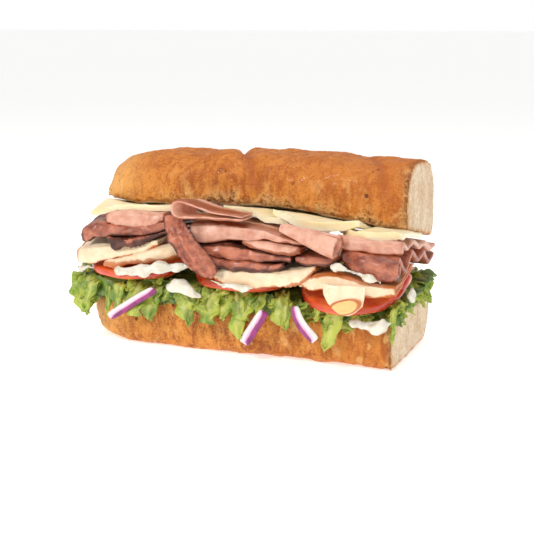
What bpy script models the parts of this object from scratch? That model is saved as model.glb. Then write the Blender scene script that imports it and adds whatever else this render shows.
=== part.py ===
"""Six-inch submarine sandwich: a crusty roll cut at one end, filled with lettuce, onion,
tomato, turkey, roast beef, ham, cheese and mayonnaise.

The loaf lies along X with its cut end at +X, its open side faces -Y and it rests on z = 0.
All design sizes below are in millimetres and become metres when a mesh is made.
"""
import math

import bmesh
import bpy

MM = 0.001                  # one design unit in metres
CLEAR = 0.35                # gap kept between touching pieces

# Loaf
LOAF_LEFT = -76.4           # tip of the rounded end
LOAF_RIGHT = 76.4           # plane of the cut end
LOWER_HALF_WIDTH = 31.0
LOWER_FRONT_HEIGHT = 24.0
LOWER_BACK_HEIGHT = 29.0
UPPER_FRONT = -10.8         # the upper half leans back, so its front wall stands behind the lower one's
UPPER_BACK = 37.0
UPPER_CREST = 85.0
UPPER_LENGTHS = (-65.0, -56.0, -32.0, -16.0, 18.0, 40.0, 54.0, 76.4)
UPPER_FRONT_EDGE = (63.5, 61.3, 62.2, 63.8, 63.2, 61.0, 59.0, 56.4)
UPPER_EDGE_DROP = 11.0      # how much lower the underside is at the back than at the front
SCORE_NOTCHES = (-2.0, 59.0)  # where the two baker's cuts cross the crest
SCORE_DEPTHS = (4.2, 2.4)
SCORE_SLANT = -0.55

# Filling
FRONT_BLEND = (-13.0, -30.0)  # between these the layers pass from their inner level to their front shape
MEAT = 1.25
CHEESE = 1.8
TIGHTEST_FOLD = 0.40        # most of a fold's height that one sheet of it may take
TOMATO_DEPTH = 0.65         # how far back a tomato slice reaches, as a share of its half width

COLOURS = {
    "crust": ((0.60, 0.27, 0.075), 0.62),
    "lettuce": ((0.34, 0.56, 0.10), 0.45),
    "onion": ((0.86, 0.80, 0.82), 0.30),
    "tomato": ((0.72, 0.08, 0.02), 0.25),
    "turkey": ((0.86, 0.72, 0.52), 0.45),
    "beef": ((0.36, 0.10, 0.07), 0.40),
    "ham": ((0.80, 0.42, 0.33), 0.40),
    "cheese": ((0.93, 0.82, 0.50), 0.45),
    "mayonnaise": ((0.93, 0.91, 0.84), 0.25),
}


def remove_everything():
    for item in list(bpy.data.objects):
        bpy.data.objects.remove(item, do_unlink=True)


def material(kind):
    found = bpy.data.materials.get(kind)
    if found:
        return found
    made = bpy.data.materials.new(kind)
    made.use_nodes = True
    shader = made.node_tree.nodes["Principled BSDF"]
    colour, roughness = COLOURS[kind]
    shader.inputs["Base Color"].default_value = (*colour, 1.0)
    shader.inputs["Roughness"].default_value = roughness
    shader.inputs["Metallic"].default_value = 0.0
    return made


def mix(low, high, share):
    return low + (high - low) * share


def ease(share):
    share = min(max(share, 0.0), 1.0)
    return share * share * (3.0 - 2.0 * share)


def along(x, places, values):
    """Value at x on a line of straight runs through (places, values)."""
    if x <= places[0]:
        return values[0]
    for index in range(1, len(places)):
        if x <= places[index]:
            share = (x - places[index - 1]) / (places[index] - places[index - 1])
            return mix(values[index - 1], values[index], share)
    return values[-1]


def spread(start, end, count):
    return [mix(start, end, index / (count - 1)) for index in range(count)]


# ---------------------------------------------------------------- meshes

def loft(name, kind, rings, smooth_angle=50.0, sheet=False):
    """Closed body through rings of points that all have the same length.

    The rings of a sheet run along one side and back along the other, and its ends close from side to side.
    """
    mesh = bpy.data.meshes.new(name)
    body = bmesh.new()
    rows = [[body.verts.new([value * MM for value in point]) for point in ring] for ring in rings]
    count = len(rings[0])
    for row, following in zip(rows, rows[1:]):
        for index in range(count):
            after = (index + 1) % count
            body.faces.new((row[index], row[after], following[after], following[index]))
    for row in (rows[0], rows[-1]):
        if sheet:
            for index in range(count // 2 - 1):
                body.faces.new((row[index], row[index + 1], row[count - 2 - index], row[count - 1 - index]))
        else:
            body.faces.new(row)
    bmesh.ops.triangulate(body, faces=body.faces[:], ngon_method="EAR_CLIP")
    bmesh.ops.recalc_face_normals(body, faces=body.faces[:])
    if body.calc_volume(signed=True) < 0.0:
        bmesh.ops.reverse_faces(body, faces=body.faces[:])
    body.to_mesh(mesh)
    body.free()
    mesh.shade_smooth()
    mesh.set_sharp_from_angle(angle=math.radians(smooth_angle))
    mesh.materials.append(material(kind))
    item = bpy.data.objects.new(name, mesh)
    bpy.context.collection.objects.link(item)
    return item


def rounded_outline(corners, run_points):
    """Closed outline through (y, z, radius, steps) corners, with points added on each straight run."""
    count = len(corners)
    runs = []
    for index in range(count):
        before = corners[index - 1]
        here = corners[index]
        after = corners[(index + 1) % count]
        runs.append(corner_arc(before, here, after))
    outline = []
    for index in range(count):
        outline.extend(runs[index])
        start = runs[index][-1]
        end = runs[(index + 1) % count][0]
        extra = run_points[index]
        for step in range(1, extra + 1):
            share = step / (extra + 1)
            outline.append((mix(start[0], end[0], share), mix(start[1], end[1], share)))
    return outline


def corner_arc(before, here, after):
    y, z, radius, steps = here
    ways = []
    for other in (before, after):
        length = math.hypot(other[0] - y, other[1] - z)
        ways.append(((other[0] - y) / length, (other[1] - z) / length))
    half = 0.5 * math.acos(max(-1.0, min(1.0, ways[0][0] * ways[1][0] + ways[0][1] * ways[1][1])))
    reach = radius / math.tan(half)
    bisector = (ways[0][0] + ways[1][0], ways[0][1] + ways[1][1])
    length = math.hypot(*bisector)
    centre_distance = radius / math.sin(half)
    centre = (y + bisector[0] / length * centre_distance, z + bisector[1] / length * centre_distance)
    start = (y + ways[0][0] * reach - centre[0], z + ways[0][1] * reach - centre[1])
    end = (y + ways[1][0] * reach - centre[0], z + ways[1][1] * reach - centre[1])
    turn = math.atan2(start[0] * end[1] - start[1] * end[0], start[0] * end[0] + start[1] * end[1])
    points = []
    for step in range(steps + 1):
        angle = turn * step / steps
        points.append((centre[0] + start[0] * math.cos(angle) - start[1] * math.sin(angle),
                       centre[1] + start[0] * math.sin(angle) + start[1] * math.cos(angle)))
    return points


# ---------------------------------------------------------------- bread

def end_scale(x, tip, full):
    """Scale of a section near the loaf's rounded end: 1 beyond full, small at the tip."""
    share = min(max((full - x) / (full - tip), 0.0), 1.0)
    return (1.0 - share ** 2.3) ** (1.0 / 2.3)


def lower_roll():
    outline = rounded_outline(((-31.0, 0.0, 4.5, 3), (31.0, 0.0, 8.0, 4), (31.0, 29.0, 4.0, 2),
                               (-31.0, 24.0, 2.5, 2)), (3, 1, 4, 2))
    stations = [-75.6, -74.0, -71.0, -66.5, -60.0, -51.0, -38.0, -20.0, 0.0, 20.0, 40.0, 60.0, LOAF_RIGHT]
    rings = []
    for x in stations:
        scale = end_scale(x, LOAF_LEFT, -44.0)
        swell = 0.45 * math.sin(x * 0.11) + 0.3 * math.sin(x * 0.31 + 1.0)
        ring = []
        for y, z in outline:
            wall = math.sin(math.pi * min(max(z / 26.0, 0.0), 1.0))
            out = math.copysign(1.0, y) * wall * (0.9 + swell) if abs(y) > 29.5 else 0.0
            ring.append((x, (y + out) * scale, mix(25.5 + 0.04 * y, z, scale ** 0.8)))
        rings.append(ring)
    return loft("bread_lower", "crust", rings)


def underside(x, y):
    """Height of the upper half's cut surface."""
    front = along(x, UPPER_LENGTHS, UPPER_FRONT_EDGE)
    share = (y - UPPER_FRONT) / (UPPER_BACK - UPPER_FRONT)
    return front - UPPER_EDGE_DROP * max(share, 0.0)


def lower_surface(y):
    """Height of the lower half's cut surface."""
    share = min(max((y + LOWER_HALF_WIDTH) / (2.0 * LOWER_HALF_WIDTH), 0.0), 1.0)
    return mix(LOWER_FRONT_HEIGHT, LOWER_BACK_HEIGHT, share)


def upper_roll():
    stations = [-74.4, -73.0, -70.5, -66.5, -61.0, -53.0, -43.0, -32.0, -24.0, -18.0, -14.0, -10.5, -7.0,
                -4.0, -1.0, 2.0, 5.5, 10.0, 18.0, 32.0, 42.0, 47.0, 51.0, 54.5, 58.0, 61.0, 64.0, 68.0,
                72.0, LOAF_RIGHT]
    rings = []
    for x in stations:
        front = along(x, UPPER_LENGTHS, UPPER_FRONT_EDGE)
        outline = rounded_outline(((UPPER_FRONT, front, 2.0, 2), (UPPER_BACK, front - UPPER_EDGE_DROP, 4.0, 2),
                                   (UPPER_BACK, UPPER_CREST, 19.0, 5), (UPPER_FRONT, UPPER_CREST, 14.5, 5)),
                                  (4, 1, 1, 2))
        scale = end_scale(x, -75.4, -44.0)
        hub = (13.0, front - 3.0)
        ring = []
        for y, z in outline:
            lift = min(max((z - front) / 12.0, 0.0), 1.0)
            depth = 0.0
            for notch, most in zip(SCORE_NOTCHES, SCORE_DEPTHS):
                away = x - (notch + SCORE_SLANT * (y - 2.0))
                depth += most * math.exp(-(away / 2.6) ** 2) * ease((z - 71.0) / 8.0)
            crest = 0.9 * math.sin(x * 0.052 + 1.1) * lift
            pull = scale * (1.0 - depth / max(math.hypot(y - hub[0], z - hub[1]), 1.0))
            ring.append((x, hub[0] + (y - hub[0]) * pull, hub[1] + (z + crest - hub[1]) * pull))
        rings.append(ring)
    return loft("bread_upper", "crust", rings)


# ---------------------------------------------------------------- layers

class Slice:
    """One slice of the pile. Station rows start with x and the y of the slice's front.

    Depth is how far its upper face lies under the upper half inside the loaf,
    at its first and last station.
    """

    def __init__(self, name, kind, form, stations, back, depth, thickness=MEAT, room=0.0):
        self.name = name
        self.kind = kind
        self.form = form
        self.stations = stations
        self.back = back
        self.depth = depth
        self.thickness = thickness
        self.room = room
        self.start = stations[0][0]
        self.end = stations[-1][0]

    def values(self, x):
        places = [station[0] for station in self.stations]
        return [along(x, places, [station[column] for station in self.stations])
                for column in range(1, len(self.stations[0]))]

    def rear(self, x):
        """Y of the slice's back edge: round slices reach furthest back at their middle."""
        middle = 0.5 * (self.start + self.end)
        away = min(abs(x - middle) / (0.5 * (self.end - self.start)), 1.0)
        share = 0.55 + 0.45 * math.sqrt(1.0 - away ** 2.5)
        return mix(self.values(x)[0], self.back, share)

    def inner_top(self, x, y):
        """Height of the slice's upper face inside the loaf."""
        share = (x - self.start) / (self.end - self.start)
        return underside(x, max(y, UPPER_FRONT)) - mix(self.depth[0], self.depth[1], share)

    def rows(self, x, nose):
        """Y of the points from the back edge to just behind the nose."""
        rows = [self.rear(x), FRONT_BLEND[0], 0.5 * (FRONT_BLEND[0] + FRONT_BLEND[1]), FRONT_BLEND[1]]
        return [max(y, nose + 0.8 + 0.5 * index) for index, y in enumerate(reversed(rows))][::-1]


def settle(y, front_height, inner_height):
    """Layer height at y: its inner level behind the blend, its front height before it."""
    share = ease((FRONT_BLEND[0] - y) / (FRONT_BLEND[0] - FRONT_BLEND[1]))
    return mix(inner_height, front_height, share)


def thick_path(path, thickness):
    """Outline of a sheet that follows an open path of (across, up) points."""
    count = len(path)
    near = []
    far = []
    for index, (across, up) in enumerate(path):
        first = path[max(index - 1, 0)]
        last = path[min(index + 1, count - 1)]
        run = last[0] - first[0]
        rise = last[1] - first[1]
        reach = 0.5 * thickness / math.hypot(run, rise)
        near.append((across - rise * reach, up + run * reach))
        far.append((across + rise * reach, up - run * reach))
    return near + far[::-1]


def folded_slice(item, cuts=7):
    """Slice folded over at the front. Stations are (x, front y, lowest z, highest z)."""
    rings = []
    for x in spread(item.start, item.end, cuts):
        front, low, high = item.values(x)
        thickness = min(item.thickness, TIGHTEST_FOLD * (high - low))
        half = 0.5 * thickness
        bottom = low + half
        top = high - half
        radius = 0.5 * (top - bottom)
        nose = min(radius, 3.4)
        rows = item.rows(x, front + half + nose)
        lower = item.thickness + CLEAR + half
        path = [(y, settle(y, bottom, item.inner_top(x, y) - lower)) for y in rows]
        for step in range(5):
            angle = math.radians(-90.0 - 180.0 * step / 4)
            path.append((front + half + nose + nose * math.cos(angle),
                         0.5 * (top + bottom) + radius * math.sin(angle)))
        path += [(y, settle(y, top, item.inner_top(x, y) - half)) for y in reversed(rows)]
        rings.append([(x, y, z) for y, z in thick_path(path, thickness)])
    return loft(item.name, item.kind, rings, sheet=True)


def plain_slice(item, cuts=7):
    """Sheet that ends in a plain edge at the front. Stations are (x, front y, front z)."""
    half = 0.5 * item.thickness
    rings = []
    for x in spread(item.start, item.end, cuts):
        front, height = item.values(x)
        path = [(y, settle(y, height, item.inner_top(x, y) - half)) for y in item.rows(x, front) + [front]]
        rings.append([(x, y, z) for y, z in thick_path(path, item.thickness)])
    return loft(item.name, item.kind, rings, sheet=True)


def ruffled_slice(item, waves=3, cuts=4):
    """Slice with a rolled front edge that runs back in waves, seen at the cut end.

    Stations are (x, front y, lowest z, highest z); the waves fill the slice's room.
    """
    half = 0.5 * item.thickness
    rings = []
    for x in spread(item.start, item.end, cuts):
        front, low, high = item.values(x)
        radius = 0.5 * (high - low) - half
        middle = 0.5 * (high + low)
        path = []
        for step in range(6):
            angle = math.radians(35.0 - 62.0 * step)
            inward = mix(0.5, 1.0, step / 5)
            path.append((front + half + radius * 0.8 + radius * 0.8 * inward * math.cos(angle),
                         middle + radius * inward * math.sin(angle)))
        start_y = path[-1][0]
        steps = 4 * waves
        for step in range(1, steps + 1):
            y = mix(start_y, item.back, step / steps)
            top = item.inner_top(x, y)
            highest = settle(y, high - half, top - half)
            lowest = settle(y, low + half, top - item.room + half)
            path.append((y, mix(lowest, highest, 0.5 + 0.5 * math.cos(math.pi * step / 2.0))))
        rings.append([(x, y, z) for y, z in thick_path(path, item.thickness)])
    return loft(item.name, item.kind, rings, sheet=True)


def tomato_slice(item, cuts=9):
    """Round slice in the pile. Stations are (x, y of the middle, front drop, highest z)."""
    radius = 0.5 * (item.end - item.start)
    rings = []
    for index in range(cuts):
        angle = math.pi * (index + 0.35) / (cuts - 0.3)
        x = item.start + radius - radius * math.cos(angle)
        half = radius * math.sin(angle)
        middle, drop, height = item.values(x)
        rows = spread(middle + half * TOMATO_DEPTH, middle - half, 6)
        upper = []
        lower = []
        for y in rows:
            top = settle(y, height - drop * ease((middle - y) / radius), item.inner_top(x, y))
            upper.append((x, y, top))
            lower.append((x, y, top - item.thickness))
        nose = (x, rows[-1] - 0.9, upper[-1][2] - 0.5 * item.thickness)
        tail = (x, rows[0] + 0.5, upper[0][2] - 0.5 * item.thickness)
        rings.append(upper + [nose] + lower[::-1] + [tail])
    return loft(item.name, item.kind, rings)


def hanging_strip(name, kind, stations, thickness):
    """Strip that hangs down the front. Stations are (x of middle, y, z, width), from top to tip."""
    rings = []
    for x, y, z, width, lean in stations:
        half = 0.5 * width
        side = (math.cos(math.radians(lean)), math.sin(math.radians(lean)))
        ring = []
        for across, out in ((-1.0, 0.0), (-0.55, -0.5), (0.0, -0.62), (0.55, -0.5), (1.0, 0.0),
                            (0.55, 0.5), (0.0, 0.38), (-0.55, 0.5)):
            ring.append((x + half * across * side[0], y + out * thickness, z + half * across * side[1]))
        rings.append(ring)
    return loft(name, kind, rings)


def dollop(name, stations, sides=8):
    """Soft blob. Stations are (x, y, z, half depth, half height)."""
    rings = []
    for x, y, z, deep, high in stations:
        ring = []
        for index in range(sides):
            angle = 2.0 * math.pi * index / sides
            uneven = 1.0 + 0.16 * math.sin(2.3 * x + 3.0 * angle)
            ring.append((x, y + deep * uneven * math.cos(angle), z + high * uneven * math.sin(angle)))
        rings.append(ring)
    return loft(name, "mayonnaise", rings, 80.0)


def turned_loop(name, kind, centre, radius, tail_end, depth, thickness=MEAT, cuts=4):
    """Small slice folded round on itself, its edge facing the front: a teardrop loop along Y."""
    path = []
    tail = (tail_end[0], tail_end[1] + 0.5 * thickness + 0.25)
    path.append(tail)
    path.append((mix(centre[0], tail[0], 0.45), mix(centre[1] + radius, tail[1], 0.72)))
    for step in range(7):
        angle = math.radians(62.0 + 236.0 * step / 6)
        path.append((centre[0] + radius * math.cos(angle), centre[1] + radius * math.sin(angle)))
    path.append((mix(centre[0], tail_end[0], 0.45), mix(centre[1] - radius, tail_end[1], 0.55)))
    path.append((tail_end[0], tail_end[1] - 0.5 * thickness - 0.25))
    rings = []
    for index, y in enumerate(spread(depth[0], depth[1], cuts)):
        shrink = mix(1.0, 0.82, index / (cuts - 1))
        ring = []
        for x, z in thick_path(path, thickness):
            ring.append((tail_end[0] + (x - tail_end[0]) * shrink, y, tail_end[1] + (z - tail_end[1]) * shrink))
        rings.append(ring)
    return loft(name, kind, rings, sheet=True)


def rolled_cone(name, kind, narrow, wide, radii, turn, thickness=MEAT, sides=11, cuts=5):
    """Slice rolled into an open cone from narrow to wide; turn is the span of the roll in degrees."""
    axis = [wide[index] - narrow[index] for index in range(3)]
    length = math.sqrt(sum(value * value for value in axis))
    axis = [value / length for value in axis]
    side = (axis[1], -axis[0], 0.0)
    flat = math.hypot(side[0], side[1])
    side = (side[0] / flat, side[1] / flat, 0.0)
    rise = (axis[1] * side[2] - axis[2] * side[1], axis[2] * side[0] - axis[0] * side[2],
            axis[0] * side[1] - axis[1] * side[0])
    rings = []
    for share in spread(0.0, 1.0, cuts):
        radius = mix(radii[0], radii[1], share)
        middle = [mix(narrow[index], wide[index], share) for index in range(3)]
        path = []
        for step in range(sides):
            angle = math.radians(mix(90.0 - turn, 90.0, step / (sides - 1)) + 150.0)
            path.append((radius * math.cos(angle), radius * 1.15 * math.sin(angle)))
        ring = []
        for u, v in thick_path(path, thickness):
            ring.append([middle[index] + u * side[index] + v * rise[index] for index in range(3)])
        rings.append(ring)
    return loft(name, kind, rings, sheet=True)


def lettuce_heap():
    """Shredded lettuce as one heap: it covers the lower roll and hangs over its front."""
    top_places = (-79.0, -72.0, -62.0, -22.0, -18.0, 28.0, 34.0, 80.5)
    front_top = (26.0, 30.0, 30.7, 30.7, 28.9, 28.9, 24.0, 24.0)
    hem_places = (-79.0, -70.0, -62.0, -54.0, -46.0, -38.0, -31.0, -24.0, -16.0, -8.0, 0.0, 8.0, 15.0, 22.0,
                  30.0, 37.0, 45.0, 50.0, 55.0, 60.0, 66.0, 73.0, 80.5)
    hem = (22.0, 16.5, 15.0, 20.0, 17.0, 21.0, 14.5, 20.0, 14.0, 18.5, 13.5, 16.5, 10.5, 18.0,
           17.0, 19.5, 17.5, 15.0, 10.5, 17.0, 19.5, 18.0, 19.0)
    room_places = (-79.0, -22.0, -16.0, 28.0, 34.0, 80.5)
    front_rooms = (9.5, 9.5, 8.0, 8.0, 3.2, 3.2)
    back_rooms = (7.5, 7.5, 4.6, 4.6, 2.2, 2.2)
    rings = []
    for x in hem_places:
        crown = along(x, top_places, front_top)
        tip = along(x, hem_places, hem)
        edge = mix(-38.0, -27.0, ease((-60.0 - x) / 12.0))
        inside = mix(-33.2, -16.0, ease((-66.0 - x) / 9.0))
        rear = mix(29.0, 12.0, ease((-60.0 - x) / 16.0))
        floor = [(x, y, lower_surface(y) + 0.9) for y in spread(rear, inside, 5)]
        low_inside = min(tip + 0.5, floor[-1][2] - 1.0)
        ring = floor
        ring.append((x, inside, low_inside))
        ring.append((x, inside - 2.0, low_inside - 0.5))
        ring.append((x, mix(inside - 2.3, edge, 0.8), mix(tip, crown, 0.35)))
        ring.append((x, edge, mix(tip, crown, 0.7)))
        ring.append((x, edge + 1.2, crown))
        for y in (FRONT_BLEND[1], 0.5 * (FRONT_BLEND[0] + FRONT_BLEND[1]), FRONT_BLEND[0], 8.0, rear):
            share = (y - FRONT_BLEND[0]) / (29.0 - FRONT_BLEND[0])
            room = mix(along(x, room_places, front_rooms), along(x, room_places, back_rooms), max(share, 0.0))
            ring.append((x, y, settle(y, crown, lower_surface(y) + room)))
        rings.append(ring)
    return loft("lettuce", "lettuce", rings)


# ---------------------------------------------------------------- the filling, from top to bottom

PILE = (
    Slice("cheese_centre", "cheese", "plain",
          ((20.0, -24.0, 64.6), (27.0, -30.8, 64.2), (35.0, -32.0, 61.6), (45.0, -32.4, 61.0),
           (53.0, -31.6, 61.4), (60.0, -28.0, 61.9)), 27.0, (0.4, 0.4), CHEESE),
    Slice("cheese_left", "cheese", "plain",
          ((-67.0, -28.0, 58.0), (-62.0, -30.4, 58.6), (-55.0, -31.0, 62.4), (-44.0, -31.6, 63.0),
           (-31.0, -31.4, 63.1), (-21.5, -29.0, 63.2)), 26.0, (0.4, 0.4), CHEESE),
    Slice("cheese_middle", "cheese", "plain",
          ((-4.0, -22.0, 63.2), (4.0, -26.0, 62.2), (13.0, -29.6, 61.4), (24.0, -30.2, 61.3),
           (29.0, -28.0, 60.7)), 27.0, (2.55, 2.55), CHEESE),
    Slice("cheese_right", "cheese", "plain",
          ((50.0, -24.0, 59.0), (56.0, -30.0, 58.6), (64.0, -32.4, 57.0), (71.0, -32.0, 56.4),
           (79.0, -28.0, 57.2)), 27.0, (3.2, 0.5), CHEESE),
    Slice("ham_right", "ham", "ruffle",
          ((51.5, -33.0, 51.8, 56.5), (58.0, -34.4, 51.5, 56.3), (66.0, -36.0, 51.2, 55.3),
           (72.0, -36.4, 51.0, 55.0), (79.5, -34.0, 51.0, 55.5)), 26.0, (5.1, 3.0), 1.2, 3.6),
    Slice("ham_left", "ham", "fold",
          ((-55.5, -35.0, 56.9, 59.9), (-51.0, -36.6, 56.8, 61.2), (-40.0, -37.0, 56.4, 61.6),
           (-31.0, -36.6, 57.8, 61.2), (-26.0, -35.6, 59.2, 61.6)), 26.0, (2.6, 2.6)),
    Slice("ham_middle", "ham", "fold",
          ((-12.5, -39.4, 49.9, 59.2), (-5.0, -40.0, 50.8, 60.0), (8.0, -40.4, 52.6, 60.2),
           (20.0, -39.6, 54.2, 58.9), (30.0, -38.4, 53.4, 56.0), (38.5, -35.0, 51.9, 53.4)), 27.0, (4.7, 4.7)),
    Slice("ham_folded_under", "ham", "fold",
          ((12.0, -39.6, 51.9, 52.8), (18.0, -39.8, 50.7, 53.4), (26.0, -39.4, 49.8, 52.8),
           (32.0, -38.4, 48.9, 52.0), (37.0, -36.0, 48.9, 50.8)), 6.0, (8.0, 8.0), 1.1),
    Slice("beef_right", "beef", "ruffle",
          ((54.6, -33.0, 46.2, 50.6), (58.5, -35.0, 45.2, 50.7), (63.0, -38.2, 43.2, 50.6),
           (70.0, -39.4, 40.7, 50.2), (79.0, -38.2, 39.7, 50.2)), 26.0, (9.1, 7.0), MEAT, 5.6),
    Slice("beef_left", "beef", "fold",
          ((-67.5, -35.0, 46.4, 53.0), (-64.0, -37.6, 46.8, 55.6), (-58.0, -38.0, 51.2, 56.0),
           (-46.0, -38.2, 51.4, 55.3), (-34.0, -38.0, 53.0, 56.6), (-24.0, -36.0, 55.4, 58.6)), 26.0, (5.9, 5.9)),
    Slice("beef_left_flap", "beef", "plain",
          ((-54.0, -38.4, 49.4), (-50.0, -39.6, 48.8), (-44.0, -39.8, 49.0), (-36.0, -39.4, 50.8),
           (-29.0, -38.4, 52.6), (-23.0, -36.0, 54.0)), 23.0, (9.35, 9.35)),
    Slice("beef_middle", "beef", "fold",
          ((-11.0, -38.6, 45.6, 49.2), (-4.0, -39.8, 45.3, 50.0), (5.0, -40.8, 44.9, 51.6),
           (12.0, -40.8, 44.9, 50.6), (24.0, -39.6, 44.7, 48.8), (33.0, -37.0, 45.6, 47.9)), 27.0, (10.8, 10.8)),
    Slice("beef_middle_under", "beef", "fold",
          ((-4.0, -39.8, 42.0, 44.8), (5.0, -41.4, 41.6, 44.4), (16.0, -41.6, 41.5, 44.4),
           (24.0, -41.2, 41.4, 44.0), (31.0, -39.0, 43.0, 44.8)), 20.0, (14.1, 14.1), 1.1),
    Slice("beef_centre", "beef", "fold",
          ((35.0, -36.0, 45.0, 47.4), (40.0, -37.6, 44.8, 48.0), (47.0, -37.6, 45.2, 47.8),
           (53.0, -35.6, 45.4, 47.2)), 23.0, (13.5, 13.5), 1.1),
    Slice("turkey_left", "turkey", "fold",
          ((-71.5, -34.0, 35.6, 43.0), (-66.0, -37.6, 37.2, 44.6), (-58.0, -38.0, 39.0, 46.0),
           (-46.0, -38.2, 42.0, 46.8), (-36.0, -38.0, 45.3, 48.6), (-29.0, -37.0, 47.4, 50.2)), 24.0, (11.3, 11.3)),
    Slice("turkey_left_under", "turkey", "fold",
          ((-55.0, -38.0, 37.5, 38.8), (-47.0, -39.6, 38.6, 40.9), (-38.0, -39.4, 40.6, 44.0),
           (-29.0, -38.6, 42.2, 46.6), (-21.0, -37.6, 43.6, 49.2), (-16.5, -36.0, 44.8, 49.0)), 19.0, (14.5, 14.5), 1.1),
    Slice("turkey_middle", "turkey", "fold",
          ((-2.0, -39.4, 36.5, 38.4), (6.0, -41.2, 36.2, 41.2), (17.0, -41.6, 35.6, 41.0),
           (27.0, -41.4, 35.8, 40.8), (36.0, -40.2, 39.2, 42.2), (44.5, -38.0, 42.0, 44.2)), 22.0, (17.05, 17.05)),
    Slice("turkey_right", "turkey", "fold",
          ((37.0, -37.0, 35.8, 38.0), (42.0, -38.6, 36.2, 40.0), (47.5, -39.6, 37.4, 41.8),
           (56.0, -41.4, 36.6, 41.8), (65.0, -41.4, 35.9, 40.0), (72.0, -40.4, 35.6, 39.2),
           (79.0, -38.0, 35.8, 38.6)), 14.0, (21.8, 13.2)),
    Slice("tomato_left", "tomato", "disc",
          ((-71.0, -15.0, 1.0, 36.6), (-21.0, -15.0, 1.0, 36.6)), 8.0, (17.9, 17.9), 4.4),
    Slice("tomato_middle", "tomato", "disc",
          ((-19.5, -14.0, 0.8, 35.2), (31.0, -14.0, 0.8, 35.2)), 9.0, (20.8, 20.8), 4.6),
    Slice("tomato_right", "tomato", "disc",
          ((31.6, -16.0, 7.0, 35.4), (79.6, -16.0, 7.0, 35.4)), 6.0, (26.6, 17.0), 4.4),
)

MAKERS = {"fold": folded_slice, "plain": plain_slice, "ruffle": ruffled_slice, "disc": tomato_slice}


def hanging_pieces():
    """Onion strips and the slices that hang down in front of the pile."""
    hanging_strip("onion_left", "onion", ((-29.0, -39.7, 28.6, 4.6, -56.0), (-36.0, -39.9, 24.6, 4.9, -58.0),
                                          (-44.0, -39.8, 19.4, 5.0, -57.0), (-53.0, -39.4, 13.6, 5.2, -57.0)), 1.5)
    hanging_strip("onion_middle", "onion", ((22.6, -39.9, 23.6, 5.4, -28.0), (19.4, -40.0, 18.6, 5.8, -31.0),
                                            (15.9, -39.6, 13.0, 6.0, -33.0), (12.4, -39.2, 8.0, 6.2, -35.0)), 1.5)
    hanging_strip("onion_right", "onion", ((36.0, -39.8, 27.0, 4.8, 8.0), (37.0, -40.0, 22.8, 5.4, 22.0),
                                           (39.8, -40.0, 18.0, 5.7, 38.0), (45.6, -39.5, 12.6, 6.0, 49.0)), 1.5)
    hanging_strip("turkey_flap", "turkey",
                  ((59.0, -44.0, 38.6, 19.0, 0.0), (59.5, -45.6, 34.6, 18.0, 0.0), (60.5, -46.4, 31.0, 15.0, 0.0),
                   (60.5, -46.0, 28.4, 9.0, 0.0), (60.0, -45.4, 26.6, 4.0, 0.0)), 1.2)
    hanging_strip("beef_drape", "beef",
                  ((-22.6, -35.0, 61.4, 7.0, 14.0), (-19.4, -39.0, 58.4, 10.5, 24.0),
                   (-15.6, -42.4, 54.0, 11.5, 30.0), (-11.2, -43.4, 49.0, 11.5, 36.0),
                   (-5.8, -44.0, 44.0, 11.5, 42.0), (-1.2, -43.9, 40.4, 9.0, 44.0), (1.6, -43.6, 38.2, 4.4, 44.0)),
                  1.5)
    turned_loop("ham_loop", "ham", (-15.4, 65.2), 3.9, (14.0, 62.9), (-42.6, -31.0), 1.1)
    rolled_cone("ham_cone", "ham", (29.0, -37.0, 59.4), (55.0, -40.4, 53.2), (1.5, 4.2), 300.0)


def dollops():
    """Mayonnaise squeezed out between the layers."""
    dollop("mayonnaise_left",
           ((-48.0, -41.4, 36.2, 0.5, 0.5), (-45.0, -42.2, 36.0, 1.3, 1.6), (-38.0, -42.4, 36.8, 1.7, 2.3),
            (-30.0, -42.3, 38.4, 1.7, 2.4), (-22.0, -41.6, 39.4, 1.8, 2.6), (-14.0, -40.4, 40.4, 1.6, 2.3),
            (-9.6, -39.8, 41.0, 0.6, 0.7)))
    dollop("mayonnaise_on_lettuce",
           ((-24.0, -40.0, 31.0, 0.5, 0.6), (-20.5, -40.6, 30.6, 1.4, 2.3), (-15.0, -40.8, 30.2, 1.6, 2.6),
            (-9.5, -40.8, 28.6, 1.3, 1.8), (-6.5, -40.4, 27.6, 0.5, 0.6)))
    dollop("mayonnaise_middle",
           ((-1.5, -43.2, 35.6, 0.4, 0.5), (2.5, -43.6, 34.6, 1.1, 1.4), (9.0, -43.6, 33.6, 1.1, 1.3),
            (15.0, -43.2, 33.6, 0.9, 0.9), (19.0, -43.0, 34.0, 0.4, 0.4)))
    dollop("mayonnaise_upper_right",
           ((52.5, -41.0, 45.2, 0.4, 0.5), (56.0, -41.0, 45.0, 1.3, 1.4), (62.0, -41.2, 44.0, 1.4, 1.3),
            (68.0, -41.2, 42.0, 1.2, 1.0), (74.0, -40.2, 40.0, 0.4, 0.4)))
    dollop("mayonnaise_lower_right",
           ((61.0, -39.4, 22.2, 0.5, 0.6), (64.5, -39.8, 21.6, 1.3, 1.8), (70.0, -40.0, 21.4, 1.5, 2.2),
            (75.0, -39.6, 22.2, 1.3, 1.7), (78.0, -39.0, 23.2, 0.4, 0.6)))
    dollop("mayonnaise_far_left",
           ((-74.0, -30.0, 33.4, 0.5, 0.5), (-70.0, -31.4, 33.4, 1.6, 1.2), (-65.0, -34.0, 34.4, 1.5, 1.0),
            (-61.5, -36.0, 34.9, 0.4, 0.4)))
    dollop("mayonnaise_cut_end",
           ((80.9, -24.0, 32.4, 0.8, 0.8), (81.6, -23.0, 32.2, 3.4, 3.6), (82.4, -22.6, 31.8, 3.2, 3.8),
            (83.2, -22.4, 31.6, 0.9, 1.0)))


remove_everything()
lower_roll()
upper_roll()
lettuce_heap()
for layer in PILE:
    MAKERS[layer.form](layer)
hanging_pieces()
dollops()
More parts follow.
